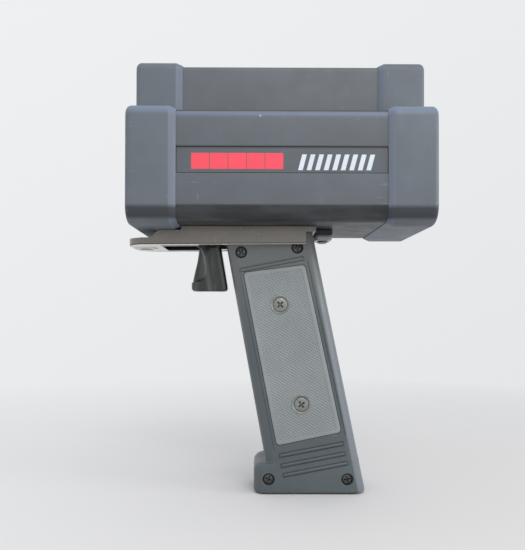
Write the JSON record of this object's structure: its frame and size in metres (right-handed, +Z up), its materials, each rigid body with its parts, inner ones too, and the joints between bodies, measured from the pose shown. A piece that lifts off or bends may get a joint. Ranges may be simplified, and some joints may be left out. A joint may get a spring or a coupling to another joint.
{
  "type": "speed radar gun",
  "caption": "Hand-held speed gun: a stepped housing with end bezels, twin optics, sight, keypad and display, on a raked pistol grip with trigger and quick-release latch.",
  "frame": {"origin": "middle of the grip's flat foot, where the gun stands", "axes": "+Z up through the grip and housing, the muzzle towards -X, the gun's left side towards -Y"},
  "size_m": [0.1996, 0.109, 0.2908],
  "materials": {
    "charcoal_extrusion": "satin anodised, charcoal grey",
    "bezel_plastic": "satin moulded, charcoal grey",
    "grip_paint": "satin blue-grey paint on a casting",
    "grip_pad": "matt diamond knurl, light grey",
    "bracket_metal": "satin, brownish grey",
    "black_plastic": "satin black",
    "trigger_plastic": "gloss black",
    "black_rubber": "matt black",
    "key_rubber": "matt grey",
    "window_glass": "clear, coated",
    "lens_glass": "coated lens",
    "steel": "satin steel",
    "dark_steel": "blackened steel",
    "circuit_board": "green solder mask",
    "label_print": "printed film, red and white bars on grey",
    "battery_wrap": "blue shrink wrap"
  },
  "bodies": {
    "gun": {"main_housing": "charcoal_extrusion", "front_bezel": "bezel_plastic", "rear_bezel": "bezel_plastic", "front_gasket": "black_rubber", "rear_gasket": "black_rubber", "lens_plate": "black_plastic", "receive_lens": "lens_glass", "transmit_lens": "lens_glass", "receive_barrel": "black_plastic", "transmit_barrel": "black_plastic", "detector_module": "dark_steel", "laser_module": "dark_steel", "main_board": "circuit_board", "control_board": "circuit_board", "sight_emitter": "black_plastic", "sight_combiner": "window_glass", "sight_front_window": "window_glass", "sight_rear_window": "window_glass", "rear_plate": "black_plastic", "display_window": "window_glass", "side_label_left": "label_print", "side_label_right": "label_print", "handle_bracket": "bracket_metal", "handle_shell_left": "grip_paint", "handle_shell_right": "grip_paint", "grip_pad_left": "grip_pad", "grip_pad_right": "grip_pad", "foot_pad": "black_rubber", "battery_pack": "battery_wrap", "power_socket": "black_plastic", "trigger_pin": "steel", "trigger_spring": "steel", "trigger_switch": "black_plastic", "latch_collar": "black_plastic", "latch_spring": "steel", "rear_plate_screw_1": "steel", "bracket_screw_1": "steel", "handle_screw_1": "dark_steel", "rear_plate_screw_2": "steel", "bracket_screw_2": "steel", "handle_screw_2": "dark_steel", "rear_plate_screw_3": "steel", "bracket_screw_3": "steel", "handle_screw_3": "dark_steel", "rear_plate_screw_4": "steel", "bracket_screw_4": "steel", "handle_screw_4": "dark_steel", "grip_screw_left_1": "steel", "grip_screw_left_2": "steel", "grip_screw_right_1": "steel", "grip_screw_right_2": "steel"},
    "trigger_body": {"trigger": "trigger_plastic"},
    "plunger_body": {"switch_plunger": "steel"},
    "latch_body": {"release_button": "dark_steel"},
    "key_1_body": {"key_1": "key_rubber"},
    "key_2_body": {"key_2": "key_rubber"},
    "key_3_body": {"key_3": "key_rubber"},
    "key_4_body": {"key_4": "key_rubber"},
    "key_5_body": {"key_5": "key_rubber"},
    "key_6_body": {"key_6": "key_rubber"}
  },
  "joints": [
    {"name": "trigger_pull", "type": "hinge", "parent": "gun", "child": "trigger_body", "pos_m": [-0.067, 0, 0.171], "axis": [0, -1, 0], "range_deg": [0, 6], "stiffness_Nm_per_rad": 0.5, "springref_deg": -8.59, "deforming": ["trigger_spring"]},
    {"name": "plunger_press", "type": "slide", "parent": "gun", "child": "plunger_body", "axis": [0, 0, 1], "range_m": [0, 0.0016]},
    {"name": "latch_press", "type": "slide", "parent": "gun", "child": "latch_body", "axis": [0, 0, 1], "range_m": [0, 0.0025], "stiffness_N_per_m": 600, "springref_m": -0.002, "deforming": ["latch_spring"]},
    {"name": "key_1_press", "type": "slide", "parent": "gun", "child": "key_1_body", "axis": [-1, 0, 0], "range_m": [0, 0.001], "stiffness_N_per_m": 900, "springref_m": -0.0005},
    {"name": "key_2_press", "type": "slide", "parent": "gun", "child": "key_2_body", "axis": [-1, 0, 0], "range_m": [0, 0.001], "stiffness_N_per_m": 900, "springref_m": -0.0005},
    {"name": "key_3_press", "type": "slide", "parent": "gun", "child": "key_3_body", "axis": [-1, 0, 0], "range_m": [0, 0.001], "stiffness_N_per_m": 900, "springref_m": -0.0005},
    {"name": "key_4_press", "type": "slide", "parent": "gun", "child": "key_4_body", "axis": [-1, 0, 0], "range_m": [0, 0.001], "stiffness_N_per_m": 900, "springref_m": -0.0005},
    {"name": "key_5_press", "type": "slide", "parent": "gun", "child": "key_5_body", "axis": [-1, 0, 0], "range_m": [0, 0.001], "stiffness_N_per_m": 900, "springref_m": -0.0005},
    {"name": "key_6_press", "type": "slide", "parent": "gun", "child": "key_6_body", "axis": [-1, 0, 0], "range_m": [0, 0.001], "stiffness_N_per_m": 900, "springref_m": -0.0005}
  ],
  "couplings": [
    {"joint": "plunger_press", "follows": "trigger_pull", "m_per_rad": 0.0145}
  ]
}
